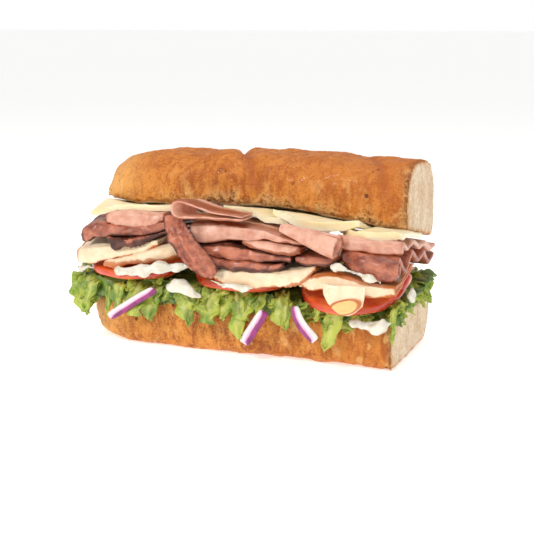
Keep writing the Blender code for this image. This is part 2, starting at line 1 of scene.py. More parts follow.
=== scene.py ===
"""Looks of the submarine sandwich: crust and crumb, folded meats, cheese, tomato, onion,
shredded lettuce and mayonnaise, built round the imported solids."""
import math
import random

import bpy
from mathutils import Matrix, Vector, noise
from mathutils.kdtree import KDTree


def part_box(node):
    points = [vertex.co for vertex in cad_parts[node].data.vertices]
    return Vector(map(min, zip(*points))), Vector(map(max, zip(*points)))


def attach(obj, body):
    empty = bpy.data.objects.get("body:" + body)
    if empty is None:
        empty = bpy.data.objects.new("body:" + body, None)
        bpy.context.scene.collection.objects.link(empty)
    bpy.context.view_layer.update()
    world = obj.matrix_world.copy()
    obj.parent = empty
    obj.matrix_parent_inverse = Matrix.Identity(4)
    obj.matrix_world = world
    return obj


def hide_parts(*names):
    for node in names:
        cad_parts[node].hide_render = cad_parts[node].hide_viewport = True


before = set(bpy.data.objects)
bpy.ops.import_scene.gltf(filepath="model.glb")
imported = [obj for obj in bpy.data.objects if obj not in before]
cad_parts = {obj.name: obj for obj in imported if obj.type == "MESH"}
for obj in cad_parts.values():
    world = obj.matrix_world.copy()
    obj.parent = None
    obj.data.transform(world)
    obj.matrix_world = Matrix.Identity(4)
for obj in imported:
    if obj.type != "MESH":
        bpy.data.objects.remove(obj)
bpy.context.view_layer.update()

MM = 0.001


# ---------------------------------------------------------------- shader expressions

class Signal:
    """A node's output that can be used in arithmetic."""

    def __init__(self, look, socket):
        self.look = look
        self.socket = socket

    def _math(self, operation, first, second=None, third=None):
        values = {0: first}
        if second is not None:
            values[1] = second
        if third is not None:
            values[2] = third
        return self.look.node("ShaderNodeMath", {"operation": operation}, values)["Value"]

    def __add__(self, other):
        return self._math("ADD", self, other)

    def __radd__(self, other):
        return self._math("ADD", other, self)

    def __sub__(self, other):
        return self._math("SUBTRACT", self, other)

    def __rsub__(self, other):
        return self._math("SUBTRACT", other, self)

    def __mul__(self, other):
        return self._math("MULTIPLY", self, other)

    def __rmul__(self, other):
        return self._math("MULTIPLY", other, self)

    def __pow__(self, other):
        return self._math("POWER", self, other)

    def step(self, low, high):
        """0 below low, 1 above high, smooth between."""
        return self.look.node("ShaderNodeMapRange", {"interpolation_type": "SMOOTHSTEP"},
                              {"Value": self, "From Min": low, "From Max": high})["Result"]


class Outputs:
    """Outputs of a node, by name."""

    def __init__(self, look, node):
        self.look = look
        self.node = node

    def __getitem__(self, name):
        return Signal(self.look, self.node.outputs[name])


class Look:
    """A material under construction round one Principled shader."""

    def __init__(self, name):
        self.material = bpy.data.materials.new(name)
        self.material.use_nodes = True
        self.tree = self.material.node_tree
        self.shader = self.tree.nodes["Principled BSDF"]
        self.place = self.node("ShaderNodeTexCoord")["Object"]
        split = self.node("ShaderNodeSeparateXYZ", {}, {0: self.place})
        self.x, self.y, self.z = split["X"], split["Y"], split["Z"]

    def node(self, kind, settings=None, values=None):
        made = self.tree.nodes.new(kind)
        for name, value in (settings or {}).items():
            setattr(made, name, value)
        for key, value in (values or {}).items():
            self.feed(made.inputs[key], value)
        return Outputs(self, made)

    def feed(self, socket, value):
        if isinstance(value, Signal):
            self.tree.links.new(value.socket, socket)
        elif hasattr(socket.default_value, "__len__") and len(value) == 3 and len(socket.default_value) == 4:
            socket.default_value = (*value, 1.0)
        else:
            socket.default_value = value

    def attribute(self, name):
        return self.node("ShaderNodeAttribute", {"attribute_name": name})["Fac"]

    def stretched(self, scale):
        return self.node("ShaderNodeMapping", {}, {"Vector": self.place, "Scale": scale})["Vector"]

    def noise(self, size, detail=3.0, rough=0.55, where=None, twist=0.0):
        """Cloudy pattern whose blotches are about size metres across, 0 to 1."""
        values = {"Vector": where or self.place, "Scale": 1.0 / size, "Detail": detail,
                  "Roughness": rough, "Distortion": twist}
        return self.node("ShaderNodeTexNoise", {}, values)["Fac"]

    def cells(self, size, feature="F1", where=None):
        values = {"Vector": where or self.place, "Scale": 1.0 / size}
        return self.node("ShaderNodeTexVoronoi", {"feature": feature}, values)["Distance"]

    def blend(self, first, second, share, mode="MIX"):
        made = self.node("ShaderNodeMix", {"data_type": "RGBA", "blend_type": mode},
                         {"Factor": share})
        self.feed(made.node.inputs[6], first)
        self.feed(made.node.inputs[7], second)
        return Signal(self, made.node.outputs[2])

    def set(self, **values):
        for name, value in values.items():
            self.feed(self.shader.inputs[name.replace("_", " ")], value)

    def bump(self, height, depth):
        """Relief of up to depth metres where height goes from 0 to 1."""
        made = self.node("ShaderNodeBump", {}, {"Height": height, "Strength": 1.0, "Distance": depth})
        self.set(Normal=made["Normal"])


# ---------------------------------------------------------------- finishes

def crust_look():
    look = Look("crust")
    streaks = look.noise(0.0026, 4.0, 0.62, look.stretched((1.0, 1.0, 0.30)), 0.5)
    clouds = look.noise(0.013, 4.0, 0.6)
    grain = look.noise(0.0009, 3.0, 0.65)
    tone = (0.42 * streaks + 0.28 * clouds + 0.30 * grain).step(0.42, 0.60)
    colour = look.blend((0.75, 0.295, 0.050), (0.36, 0.085, 0.010), tone)
    crown = look.z.step(0.062, 0.082)
    colour = look.blend(colour, (0.50, 0.125, 0.012), 0.50 * crown)
    colour = look.blend(colour, (0.54, 0.150, 0.014), 0.40 * look.x.step(0.005, 0.070))
    pale = look.noise(0.0065, 3.0, 0.65, look.stretched((1.0, 1.0, 0.55))).step(0.54, 0.68)
    colour = look.blend(colour, (0.86, 0.50, 0.17), 0.6 * pale * (1.0 - 0.85 * crown))
    left_end = 1.0 - look.x.step(-0.074, -0.040)
    colour = look.blend(colour, (0.92, 0.53, 0.17), 0.50 * left_end)
    specks = (1.0 - look.cells(0.0017).step(0.12, 0.30)) * look.noise(0.004).step(0.42, 0.60)
    colour = look.blend(colour, (0.26, 0.07, 0.012), 0.65 * specks)
    freckles = (1.0 - look.cells(0.0085).step(0.07, 0.13)) * look.noise(0.01).step(0.40, 0.55)
    colour = look.blend(colour, (0.13, 0.03, 0.006), 0.9 * freckles)
    # Painted shade: a dark band along each score line on the crest, standing in for the shade inside the crease.
    crease_shade = look.attribute("crease_shade")
    colour = look.blend(colour, (0.40, 0.09, 0.012), 0.75 * crease_shade)
    torn = look.attribute("torn")
    flakes = look.noise(0.0024, 4.0, 0.7, None, 1.0)
    ragged = look.blend((0.88, 0.55, 0.22), (0.13, 0.035, 0.008), flakes.step(0.46, 0.60))
    colour = look.blend(colour, ragged, 0.70 * torn)
    # Painted shade: the crust is darkened in a band along its edges with the crumb, where the roll meets the
    # filling.
    split_edge_shade = look.attribute("split_edge_shade")
    colour = look.blend(colour, (0.17, 0.05, 0.010), split_edge_shade * (0.4 + 0.6 * grain))
    look.set(Base_Color=colour, Roughness=0.50 + 0.25 * grain, Coat_Weight=0.05)
    look.set(Subsurface_Weight=0.04, Subsurface_Radius=(0.6, 0.3, 0.12), Subsurface_Scale=0.002)
    look.shader.inputs["Specular IOR Level"].default_value = 0.35
    look.bump(0.7 * streaks + 0.5 * grain + 0.35 * clouds + 0.9 * torn * flakes - 0.5 * freckles, 0.0011)
    return look.material


def crumb_look():
    look = Look("crumb")
    grain = look.noise(0.0016, 4.0, 0.65)
    clouds = look.noise(0.010, 3.0, 0.5)
    colour = look.blend((0.85, 0.70, 0.52), (0.66, 0.45, 0.26), (0.6 * grain + 0.4 * clouds).step(0.38, 0.62))
    # Painted shade in the crumb's small holes: the pores are sunk by the bump and darkened as if shade lay in
    # them.
    pore_dents_and_shade = (1.0 - look.cells(0.0024).step(0.10, 0.36)) * look.noise(0.0045, 2.0).step(0.42, 0.58)
    colour = look.blend(colour, (0.58, 0.34, 0.15), 0.5 * pore_dents_and_shade)
    bran = (1.0 - look.cells(0.0034).step(0.07, 0.15)) * look.noise(0.004).step(0.44, 0.52)
    colour = look.blend(colour, (0.36, 0.15, 0.04), 0.85 * bran)
    rim = look.attribute("rim")
    colour = look.blend(colour, (0.62, 0.26, 0.06), rim * (0.55 + 0.45 * grain))
    look.set(Base_Color=colour, Roughness=0.82)
    look.set(Subsurface_Weight=0.15, Subsurface_Radius=(1.0, 0.6, 0.3), Subsurface_Scale=0.003)
    look.bump(grain - 0.6 * pore_dents_and_shade, 0.0007)
    return look.material


def slice_look(name, pale, deep, rind, sheen, fibre=0.010, specks=0.0, blotch=0.5, inside=(0.90, 0.50, 0.15)):
    """Moist cooked meat: cloudy flesh, a faint grain, and a browned rind where 'rind' is painted."""
    look = Look(name)
    clouds = look.noise(fibre, 4.0, 0.6, look.stretched((0.6, 1.0, 1.3)), 0.6)
    grain = look.noise(0.0012, 3.0, 0.6, look.stretched((0.45, 1.0, 1.3)))
    tone = (blotch * clouds + (1.0 - blotch) * look.noise(0.0035, 3.0)).step(0.36, 0.66)
    colour = look.blend(pale, deep, tone)
    colour = look.blend(colour, tuple(0.6 * value for value in deep), 0.35 * grain.step(0.58, 0.75))
    edge = look.attribute("rind")
    if specks:
        dots = (1.0 - look.cells(0.0026).step(0.12, 0.3)) * look.noise(0.005).step(0.5, 0.6)
        colour = look.blend(colour, (0.05, 0.012, 0.006), specks * dots * edge)
    colour = look.blend(colour, rind, edge * (0.75 + 0.25 * clouds.step(0.3, 0.6)))
    colour = look.blend(colour, inside, look.attribute("inside"))
    look.set(Base_Color=colour, Roughness=0.34 + 0.20 * grain, Coat_Weight=sheen * (1.0 - 0.9 * edge))
    look.set(Coat_Roughness=0.22, Subsurface_Weight=0.18, Subsurface_Scale=0.0022)
    look.set(Subsurface_Radius=(1.0, 0.35, 0.2))
    look.bump(0.6 * clouds + 0.4 * grain, 0.00035)
    return look.material


def cheese_look():
    look = Look("cheese")
    clouds = look.noise(0.012, 3.0, 0.5, look.stretched((0.5, 1.0, 1.5)))
    colour = look.blend((0.93, 0.84, 0.58), (0.90, 0.74, 0.40), clouds.step(0.35, 0.7))
    edge = look.attribute("rind")
    colour = look.blend(colour, (0.95, 0.90, 0.68), 0.6 * edge)
    look.set(Base_Color=colour, Roughness=0.38 + 0.12 * clouds, Coat_Weight=0.12)
    look.set(Subsurface_Weight=0.25, Subsurface_Radius=(1.0, 0.7, 0.25), Subsurface_Scale=0.003)
    look.bump(clouds, 0.0003)
    return look.material


def tomato_look():
    look = Look("tomato")
    clouds = look.noise(0.008, 4.0, 0.6, None, 0.8)
    flesh = look.blend((0.82, 0.16, 0.035), (0.74, 0.085, 0.02), clouds.step(0.38, 0.62))
    veins = look.cells(0.006, "SMOOTH_F1").step(0.45, 0.7)
    flesh = look.blend(flesh, (0.83, 0.27, 0.10), 0.35 * veins)
    skin = look.attribute("skin")
    colour = look.blend(flesh, (0.60, 0.035, 0.010), skin)
    look.set(Base_Color=colour, Roughness=0.20 + 0.14 * clouds, Coat_Weight=0.5 + 0.3 * skin)
    look.set(Coat_Roughness=0.10, Subsurface_Weight=0.22, Subsurface_Radius=(1.0, 0.25, 0.12))
    look.set(Subsurface_Scale=0.003)
    look.bump(clouds * (1.0 - 0.8 * skin), 0.0004)
    return look.material


def onion_look():
    look = Look("onion")
    lines = look.noise(0.0022, 3.0, 0.5, look.stretched((1.0, 0.3, 0.5)))
    skin = look.attribute("skin")
    white = look.blend((0.84, 0.81, 0.77), (0.74, 0.68, 0.68), lines.step(0.4, 0.7))
    purple = look.blend((0.33, 0.022, 0.19), (0.20, 0.010, 0.12), lines.step(0.4, 0.65))
    colour = look.blend(white, (0.80, 0.45, 0.66), skin.step(0.25, 0.5))
    colour = look.blend(colour, purple, skin.step(0.48, 0.62))
    look.set(Base_Color=colour, Roughness=0.26 + 0.15 * lines, Coat_Weight=0.35)
    look.set(Coat_Roughness=0.15, Subsurface_Weight=0.30, Subsurface_Radius=(1.0, 0.9, 0.9))
    look.set(Subsurface_Scale=0.002)
    look.bump(lines, 0.00018)
    return look.material


def lettuce_look(name="lettuce", deep=(0.12, 0.22, 0.010), fresh=(0.45, 0.52, 0.055), rib=(0.66, 0.68, 0.22)):
    look = Look(name)
    clouds = look.noise(0.007, 3.0, 0.55)
    grain = look.noise(0.0013, 3.0, 0.6)
    colour = look.blend(deep, fresh, (0.7 * clouds + 0.3 * grain).step(0.36, 0.60))
    pale = look.attribute("pale")
    colour = look.blend(colour, rib, pale)
    look.set(Base_Color=colour, Roughness=0.36 + 0.2 * grain, Coat_Weight=0.22)
    look.set(Coat_Roughness=0.2, Subsurface_Weight=0.35, Subsurface_Radius=(0.5, 1.0, 0.15))
    look.set(Subsurface_Scale=0.0025)
    look.bump(0.5 * grain + 0.5 * look.cells(0.0028).step(0.0, 0.5), 0.0004)
    return look.material


def mayonnaise_look():
    look = Look("mayonnaise")
    clouds = look.noise(0.005, 3.0, 0.5)
    colour = look.blend((0.76, 0.73, 0.64), (0.64, 0.59, 0.46), clouds.step(0.35, 0.7))
    look.set(Base_Color=colour, Roughness=0.22 + 0.15 * clouds, Coat_Weight=0.4)
    look.set(Coat_Roughness=0.12, Subsurface_Weight=0.35, Subsurface_Radius=(1.0, 0.9, 0.7))
    look.set(Subsurface_Scale=0.003)
    look.bump(clouds, 0.0003)
    return look.material


LOOKS = {
    "crust": crust_look(),
    "crumb": crumb_look(),
    "ham": slice_look("ham", (0.76, 0.43, 0.31), (0.58, 0.25, 0.165), (0.30, 0.065, 0.015), 0.20, 0.010),
    "turkey": slice_look("turkey", (0.92, 0.74, 0.52), (0.84, 0.60, 0.37), (0.52, 0.13, 0.018), 0.16, 0.014),
    "beef": slice_look("beef", (0.56, 0.18, 0.095), (0.21, 0.042, 0.020), (0.055, 0.012, 0.006), 0.30,
                       0.005, 0.8, 0.6),
    "cheese": cheese_look(),
    "tomato": tomato_look(),
    "onion": onion_look(),
    "lettuce": lettuce_look(),
    "lettuce_shade": lettuce_look("lettuce_shade", (0.035, 0.08, 0.006), (0.13, 0.23, 0.02), (0.25, 0.36,
            0.07)),
    "mayonnaise": mayonnaise_look(),
}


# ---------------------------------------------------------------- mesh helpers

def pick(piece):
    """Select one piece alone and make it active."""
    if bpy.context.object and bpy.context.object.mode != "OBJECT":
        bpy.ops.object.mode_set(mode="OBJECT")
    bpy.ops.object.select_all(action="DESELECT")
    piece.select_set(True)
    bpy.context.view_layer.objects.active = piece
    return piece


def edit_all(piece):
    pick(piece)
    bpy.ops.object.mode_set(mode="EDIT")
    bpy.ops.mesh.select_all(action="SELECT")


def leave_edit():
    bpy.ops.object.mode_set(mode="OBJECT")


def apply_modifier(piece, kind, **settings):
    pick(piece)
    modifier = piece.modifiers.new(kind.title(), kind)
    for name, value in settings.items():
        setattr(modifier, name, value)
    bpy.ops.object.modifier_apply(modifier=modifier.name)


def copied(node, name):
    """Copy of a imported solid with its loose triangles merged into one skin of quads."""
    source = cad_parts[node]
    piece = source.copy()
    piece.data = source.data.copy()
    piece.name = name
    piece.data.name = name
    piece.data.materials.clear()
    bpy.context.scene.collection.objects.link(piece)
    piece.hide_render = False
    edit_all(piece)
    bpy.ops.mesh.remove_doubles(threshold=0.00002)
    bpy.ops.mesh.tris_convert_to_quads(face_threshold=math.radians(60.0), shape_threshold=math.radians(80.0))
    leave_edit()
    return piece


def dress(piece, look_name, node=None, smooth=True):
    """Give a piece its material, smooth shading and its place in the frame."""
    piece.data.materials.append(LOOKS[look_name])
    if smooth:
        pick(piece)
        bpy.ops.object.shade_smooth()
    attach(piece, "root")
    if node:
        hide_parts(node)
    return piece


def paint(piece, name, values):
    """Store one number for each vertex under an attribute name."""
    layer = piece.data.attributes.new(name, "FLOAT", "POINT")
    layer.data.foreach_set("value", values)


def wobble(piece, size, height, seed=0.0, weight=None):
    """Push vertices in and out along their normals by smooth noise."""
    shift = Vector((seed, 2.0 * seed, -seed))
    moves = []
    for vertex in piece.data.vertices:
        amount = noise.noise(vertex.co / size + shift) * height
        if weight:
            amount *= weight(vertex.co)
        moves.append(vertex.co + vertex.normal * amount)
    for vertex, place in zip(piece.data.vertices, moves):
        vertex.co = place


def mix(low, high, share):
    return low + (high - low) * share


def ease(share):
    share = min(max(share, 0.0), 1.0)
    return share * share * (3.0 - 2.0 * share)


# ---------------------------------------------------------------- bread

SCORES = (-0.002, 0.059)    # where the baker's cuts cross the crest
SCORE_SLANT = -0.55


def bread_half(node, name, upper):
    low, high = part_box(node)
    piece = copied(node, name)
    apply_modifier(piece, "REMESH", mode="VOXEL", voxel_size=1.1 * MM)
    apply_modifier(piece, "SMOOTH", factor=0.5, iterations=14)
    cut = high.x - 0.3 * MM

    def crust_part(place):
        return ease((cut - place.x) / (3.0 * MM) + 0.4)

    wobble(piece, 17.0 * MM, (1.4 if upper else 0.8) * MM, 3.1, crust_part)
    wobble(piece, 5.5 * MM, 0.6 * MM, 8.2, crust_part)
    pick(piece)
    edit_all(piece)
    bpy.ops.mesh.bisect(plane_co=(cut, 0.0, 0.0), plane_no=(1.0, 0.0, 0.0), use_fill=True, clear_outer=True)
    leave_edit()
    apply_modifier(piece, "REMESH", mode="VOXEL", voxel_size=0.75 * MM)
    mesh = piece.data
    mesh.materials.append(LOOKS["crust"])
    mesh.materials.append(LOOKS["crumb"])
    crumb_points = set()
    crust_points = set()
    for face in mesh.polygons:
        middle = face.center
        on_cut = middle.x > cut - 0.6 * MM and face.normal.x > 0.75
        level = face.normal.z < -0.7 if upper else face.normal.z > 0.7
        if level and not upper:
            level = middle.z > 20.0 * MM
        if level and upper:
            level = middle.z < 66.0 * MM
        face.material_index = 1 if on_cut or level else 0
        (crumb_points if on_cut or level else crust_points).update(face.vertices)
    rim = [0.0] * len(mesh.vertices)
    split_edge_shade = [0.0] * len(mesh.vertices)
    shared = [index for index in crumb_points if index in crust_points]
    tree = KDTree(len(shared))
    for index in shared:
        tree.insert(mesh.vertices[index].co, index)
    tree.balance()
    for index in crumb_points:
        place = mesh.vertices[index].co
        away = tree.find(place)[2]
        rim[index] = 1.0 - ease(away / (1.3 * MM) - 0.15 + 0.5 * noise.noise(place / (2.0 * MM)))
    # Painted shade on the crust along its edges with the crumb, where the roll meets the filling.
    for index in crust_points:
        place = mesh.vertices[index].co
        away = tree.find(place)[2]
        split_edge_shade[index] = 0.75 * (1.0 - ease(away / (2.2 * MM) + 0.8 * noise.noise(place / (2.6 * MM))))
    crease_shade = [0.0] * len(mesh.vertices)
    frayed = [0.0] * len(mesh.vertices)
    # Painted shade along the score lines near the crest, standing in for the shade inside each crease.
    if upper:
        for vertex in mesh.vertices:
            place = vertex.co
            for notch in SCORES:
                away = (place.x - notch - SCORE_SLANT * (place.y - 0.002)) / MM
                lit = ease((place.z - 0.066) / 0.008)
                crease_shade[vertex.index] = max(crease_shade[vertex.index], lit * math.exp(-((away - 0.6) / 2.0) ** 2))
    for index in crust_points:
        place = mesh.vertices[index].co
        facing = ease((-place.y - (0.002 if upper else 0.028)) / 0.004)
        away = tree.find(place)[2]
        reach = (6.0 if upper else 2.0) * MM * (1.0 + 0.8 * noise.noise(place / (7.0 * MM)))
        if place.x < cut - 0.6 * MM:
            patchy = ease(0.9 + 1.4 * noise.noise(place / (9.0 * MM)))
            frayed[index] = facing * patchy * (1.0 - ease(away / reach - 0.05)) * ease((place.x + 0.052) / 0.030)
    paint(piece, "crease_shade", crease_shade)
    paint(piece, "torn", frayed)
    paint(piece, "rim", rim)
    paint(piece, "split_edge_shade", split_edge_shade)
    # Ragged, torn edge where the roll was split, and pores in the crumb.
    moves = []
    for vertex in mesh.vertices:
        place = vertex.co
        amount = 0.0
        if vertex.index in crumb_points:
            amount -= 0.55 * MM * max(noise.noise(place / (1.5 * MM)) - 0.05, 0.0)
        else:
            amount += 0.28 * MM * noise.noise(place / (2.2 * MM))
            away = tree.find(place)[2]
            torn = 1.0 - ease(away / (5.5 * MM) - 0.1)
            if place.x < cut - 1.0 * MM:
                amount += torn * 1.7 * MM * noise.noise(Vector((place.x / (3.6 * MM), place.y / (3.0 * MM),
                        4.0)))
                amount += torn * 1.1 * MM * noise.noise(place / (1.6 * MM))
        moves.append(place + vertex.normal * amount)
    for vertex, place in zip(mesh.vertices, moves):
        vertex.co = place
        vertex.co.z = max(vertex.co.z, low.z)
    pick(piece)
    bpy.ops.object.shade_smooth()
    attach(piece, "root")
    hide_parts(node)
    return piece


# ---------------------------------------------------------------- slices

def rind_values(piece, sides, width):
    """1 on the browned edge of a slice, at its ends or along the foot or head of its front."""
    mesh = piece.data
    spots = [vertex.co for vertex in mesh.vertices]
    left = min(place.x for place in spots)
    right = max(place.x for place in spots)
    column = 2.0 * MM
    fronts = {}
    for place in spots:
        key = round(place.x / column)
        fronts[key] = min(fronts.get(key, 1.0), place.y)
    feet = {}
    heads = {}
    for place in spots:
        key = round(place.x / column)
        if place.y < fronts[key] + 4.5 * MM:
            feet[key] = min(feet.get(key, 1.0), place.z)
            heads[key] = max(heads.get(key, -1.0), place.z)
    values = []
    for place in spots:
        key = place.x / column
        near, far = math.floor(key), math.ceil(key)
        share = key - near
        distances = [1.0]
        if "left" in sides:
            distances.append(place.x - left)
        if "right" in sides:
            distances.append(right - place.x)
        front = fronts.get(round(key), 1.0)
        if place.y < front + 8.0 * MM and near in feet and far in feet:
            foot = feet[near] * (1.0 - share) + feet[far] * share
            head = heads[near] * (1.0 - share) + heads[far] * share
            if "foot" in sides:
                distances.append(place.z - foot)
            if "head" in sides:
                distances.append(head - place.z)
        away = min(distances)
        uneven = 1.0 + 0.5 * noise.noise(place / (3.0 * MM))
        values.append(1.0 - ease(2.6 * (away / (width * uneven) - 0.70)))
    return values


def droop(piece, drop, wave, seed):
    """Let the front of a slice hang: its lower part is drawn down, unevenly along its length."""
    mesh = piece.data
    column = 2.0 * MM
    fronts = {}
    for vertex in mesh.vertices:
        key = round(vertex.co.x / column)
        fronts[key] = min(fronts.get(key, 1.0), vertex.co.y)
    feet = {}
    heads = {}
    for vertex in mesh.vertices:
        key = round(vertex.co.x / column)
        if vertex.co.y < fronts[key] + 6.0 * MM:
            feet[key] = min(feet.get(key, 1.0), vertex.co.z)
            heads[key] = max(heads.get(key, -1.0), vertex.co.z)
    first, last = min(fronts), max(fronts)
    for vertex in mesh.vertices:
        place = vertex.co
        key = round(place.x / column)
        near = 1.0 - ease((place.y - fronts[key] - 1.0 * MM) / (6.0 * MM))
        share = (heads.get(key, place.z) - place.z) / max(heads.get(key, 1.0) - feet.get(key, 0.0), 0.5 * MM)
        if near <= 0.0:
            continue
        ends = ease(min(key - first, last - key) / 4.0 + 0.25)
        fall = drop * ends + wave * noise.noise(Vector((place.x / (6.5 * MM), seed, 0.0)))
        place.z -= near * min(max(share, 0.0), 1.0) * fall
        place.y += near * 0.9 * wave * noise.noise(Vector((place.x / (5.0 * MM), seed + 9.0,
                place.z / (9.0 * MM))))


# Where a cheese slice is pressed up against the roll: raised amount, and from which x to which x.
LIFTS = {
    "cheese_middle": (2.1, -0.010, 0.016),
    "cheese_right": (1.7, 0.061, 0.078),
    "ham_right": (0.5, 0.056, 0.076),
}


# Slices whose waves show at the cut end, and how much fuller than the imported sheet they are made.
RUFFLED = {"ham_right": 0.55, "beef_right": 0.60}


def lift(piece, amount, first, last):
    for vertex in piece.data.vertices:
        place = vertex.co
        place.z += amount * MM * ease((place.x - first) / 0.006 + 0.5) * ease((last - place.x) / 0.006 + 0.5)


def edge_distances(piece):
    """For a diagonal strip: how far each vertex is from its nearer long side."""
    spots = [vertex.co.copy() for vertex in piece.data.vertices]
    top = max(spots, key=lambda place: place.z)
    tip = min(spots, key=lambda place: place.z)
    run = Vector((tip.x - top.x, 0.0, tip.z - top.z)).normalized()
    across = Vector((-run.z, 0.0, run.x))
    rows = {}
    for place in spots:
        rows.setdefault(round(place.dot(run) / (1.5 * MM)), []).append(place.dot(across))
    distances = []
    for place in spots:
        row = rows[round(place.dot(run) / (1.5 * MM))]
        offset = place.dot(across)
        distances.append(min(offset - min(row), max(row) - offset))
    return distances, run, across


def drape(node, seed):
    """The long slice that hangs across the pile: flat, pleated along its length, dark at its sides."""
    piece = copied(node, node + "_slice")
    apply_modifier(piece, "SUBSURF", subdivision_type="SIMPLE", levels=4, render_levels=4)
    apply_modifier(piece, "SMOOTH", factor=0.5, iterations=3)
    distances, run, across = edge_distances(piece)
    values = []
    for vertex, away in zip(piece.data.vertices, distances):
        place = vertex.co
        uneven = 1.0 + 0.8 * noise.noise(place / (2.5 * MM))
        values.append(1.0 - ease(away / (0.9 * MM * uneven) - 0.2))
        pleat = math.sin(place.dot(across) / (0.62 * MM) + 1.2 * noise.noise(place / (6.0 * MM)))
        side = 0.8 * MM * noise.noise(Vector((place.dot(run) / (4.0 * MM), seed, 0.0)))
        place.y -= 0.42 * MM * pleat * ease(away / (1.5 * MM)) + 0.7 * MM * (1.0 - ease(away / (2.0 * MM)))
        shift = across * side
        place.x += shift.x
        place.z += shift.z
    wobble(piece, 2.2 * MM, 0.4 * MM, seed)
    paint(piece, "rind", values)
    return dress(piece, "beef", node)


def flap():
    """The round end of a turkey slice that hangs over the tomato, its tip folded back."""
    piece = copied("turkey_flap", "turkey_flap_slice")
    apply_modifier(piece, "SUBSURF", subdivision_type="SIMPLE", levels=4, render_levels=4)
    apply_modifier(piece, "SMOOTH", factor=0.5, iterations=4)
    low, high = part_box("turkey_flap")
    rind = []
    inside = []
    for vertex in piece.data.vertices:
        place = vertex.co
        u = (place.x - 0.5 * (low.x + high.x)) / (0.5 * (high.x - low.x))
        v = (place.z - low.z) / (high.z - low.z)
        tilt_u = (u - 0.12) * 0.97 - (v - 0.30) * 0.25
        tilt_v = (v - 0.30) * 0.97 + (u - 0.12) * -0.16
        ring = math.hypot(tilt_u / 0.66, tilt_v / 0.27)
        inside.append(0.85 * (1.0 - ease((ring - 0.72) / 0.16)))
        rim = ease((ring - 0.74) / 0.10) * (1.0 - ease((ring - 0.98) / 0.16))
        rind.append(rim)
        if place.y < 0.5 * (low.y + high.y):
            place.y -= 0.7 * MM * (1.0 - ease((ring - 0.80) / 0.30)) - 0.5 * MM * (1.0 - ease((ring - 0.2) / 0.5))
    wobble(piece, 6.0 * MM, 0.7 * MM, 2.0)
    paint(piece, "rind", rind)
    paint(piece, "inside", inside)
    return dress(piece, "turkey", "turkey_flap")


def soft_slice(node, look_name, sides="", width=1.1, ripple=0.5, drop=0.0, seed=0.0):
    """A slice of meat or cheese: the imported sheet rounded, rippled and given its rind."""
    piece = copied(node, node + "_slice")
    apply_modifier(piece, "SUBSURF", subdivision_type="SIMPLE", levels=3, render_levels=3)
    apply_modifier(piece, "SMOOTH", factor=0.5, iterations=12 if node in RUFFLED else 2)
    if node in RUFFLED:
        plump = [vertex.co + vertex.normal * RUFFLED[node] * MM for vertex in piece.data.vertices]
        for vertex, place in zip(piece.data.vertices, plump):
            vertex.co = place
    values = rind_values(piece, sides, width * MM)
    if node in LIFTS:
        lift(piece, *LIFTS[node])
    droop(piece, drop * MM, 2.4 * ripple * MM, seed)
    wobble(piece, 12.0 * MM, 1.3 * ripple * MM, seed)
    wobble(piece, 3.6 * MM, 0.55 * ripple * MM, seed + 5.0)
    paint(piece, "rind", values)
    return dress(piece, look_name, node)


SLICES = (
    ("cheese_left", "cheese", "foot left right", 0.9, 0.25, 0.8),
    ("cheese_middle", "cheese", "foot left right", 0.9, 0.25, 1.4),
    ("cheese_centre", "cheese", "foot left right", 0.9, 0.35, 2.6),
    ("cheese_right", "cheese", "foot left right", 0.9, 0.35, 2.6),
    ("ham_left", "ham", "left foot right", 0.9, 0.5, 2.8),
    ("ham_middle", "ham", "left head foot", 0.9, 0.5, 0.8),
    ("ham_folded_under", "ham", "foot right", 1.2, 0.4, 1.6),
    ("ham_right", "ham", "left foot", 1.0, 0.5, 1.6),
    ("ham_cone", "ham", "right foot", 0.9, 0.15, 0.0),
    ("ham_loop", "ham", "foot head", 0.7, 0.2, 0.0),
    ("beef_left", "beef", "left foot right", 1.2, 0.6, 1.8),
    ("beef_left_flap", "beef", "foot left", 1.4, 0.9, 2.6),
    ("beef_middle", "beef", "foot head", 1.0, 0.6, 1.2),
    ("beef_middle_under", "beef", "foot right", 1.3, 0.7, 1.6),
    ("beef_centre", "beef", "foot", 1.2, 0.5, 1.6),
    ("beef_right", "beef", "left foot", 1.5, 0.35, 3.0),
    ("turkey_left", "turkey", "left foot", 1.1, 0.4, 1.4),
    ("turkey_left_under", "turkey", "foot right", 1.6, 0.8, 1.8),
    ("turkey_middle", "turkey", "right foot", 1.0, 0.5, 3.6),
    ("turkey_right", "turkey", "head right foot", 0.8, 0.5, 2.8),
)


def all_slices():
    for index, (node, look_name, sides, width, ripple, drop) in enumerate(SLICES):
        soft_slice(node, look_name, sides, width, ripple, drop, 1.7 * index)
    drape("beef_drape", 4.0)
    flap()


# ---------------------------------------------------------------- tomato, onion, mayonnaise

def tomato(node, seed):
    piece = copied(node, node + "_slice")
    apply_modifier(piece, "SUBSURF", levels=2, render_levels=2)
    low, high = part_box(node)
    middle = 0.5 * (low.x + high.x)
    radius = 0.5 * (high.x - low.x)
    hub = low.y + radius
    skin = []
    for vertex in piece.data.vertices:
        away = math.hypot(vertex.co.x - middle, vertex.co.y - hub) / radius
        uneven = 0.015 * noise.noise(vertex.co / (4.0 * MM))
        skin.append(ease((away + uneven - 0.945) / 0.03) * (1.0 - ease((vertex.co.y - hub) / (2.0 * MM))))
    wobble(piece, 9.0 * MM, 0.5 * MM, seed)
    paint(piece, "skin", skin)
    return dress(piece, "tomato", node)


